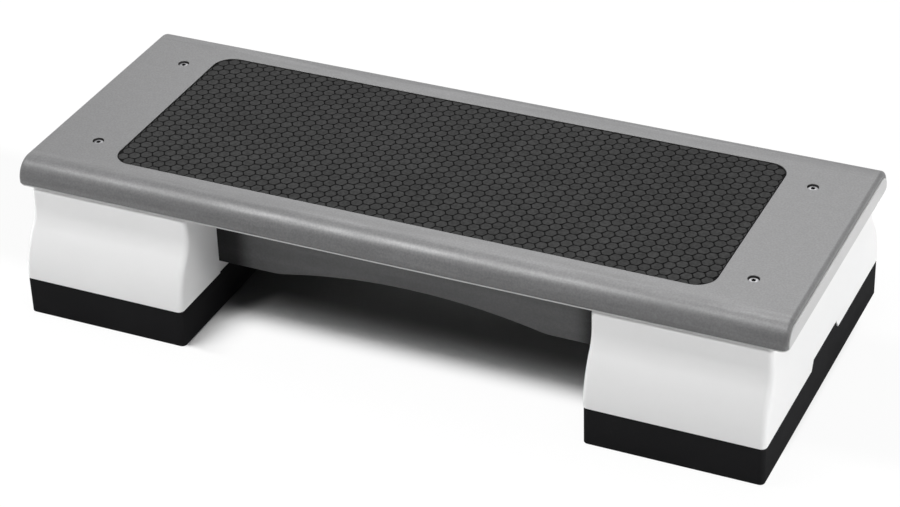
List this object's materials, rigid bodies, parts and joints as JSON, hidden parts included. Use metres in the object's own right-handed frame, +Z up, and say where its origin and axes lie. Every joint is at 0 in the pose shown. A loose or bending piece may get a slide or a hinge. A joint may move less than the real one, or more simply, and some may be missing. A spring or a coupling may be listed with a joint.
{
  "type": "aerobic step platform",
  "caption": "Long low exercise step: nosed grey board with a sunk hexagon rubber tread, on flared white legs with removable black risers and arched rails beneath.",
  "frame": {"origin": "on the floor, under the middle of the board", "axes": "+X along the board's length, +Y from the user towards the back, +Z up"},
  "size_m": [0.98, 0.431, 0.2],
  "materials": {
    "foil_board": "fibreboard wrapped in satin silver-grey foil",
    "white_sheet": "smooth pale melamine sheet",
    "edge_strip": "satin light grey strip",
    "tread_rubber": "matte, moulded hexagon cells",
    "screw_steel": "zinc plated",
    "insert_brass": "plain turned",
    "white_plastic": "satin moulded",
    "foot_rubber": "matte",
    "rail_board": "fibreboard in dark grey foil",
    "black_plastic": "fine-grained satin moulded"
  },
  "bodies": {
    "platform": {"deck_board": "foil_board", "underside_sheet": "white_sheet", "left_end_band": "edge_strip", "right_end_band": "edge_strip", "tread_mat": "tread_rubber", "left_deck_screws": "screw_steel", "right_deck_screws": "screw_steel", "left_hidden_screws": "screw_steel", "right_hidden_screws": "screw_steel", "left_leg_inserts": "insert_brass", "right_leg_inserts": "insert_brass", "left_leg": "white_plastic", "right_leg": "white_plastic", "left_leg_pads": "foot_rubber", "right_leg_pads": "foot_rubber", "front_rail": "rail_board", "back_rail": "rail_board", "front_rail_bolts": "screw_steel", "back_rail_bolts": "screw_steel", "front_rail_nuts": "screw_steel", "back_rail_nuts": "screw_steel"},
    "left_riser_unit": {"left_riser": "black_plastic", "left_riser_feet": "foot_rubber"},
    "right_riser_unit": {"right_riser": "black_plastic", "right_riser_feet": "foot_rubber"}
  },
  "joints": [
    {"name": "left_riser_pull", "type": "slide", "parent": "platform", "child": "left_riser_unit", "axis": [0, 0, -1], "range_m": [0, 0.014]},
    {"name": "right_riser_pull", "type": "slide", "parent": "platform", "child": "right_riser_unit", "axis": [0, 0, -1], "range_m": [0, 0.014]}
  ]
}
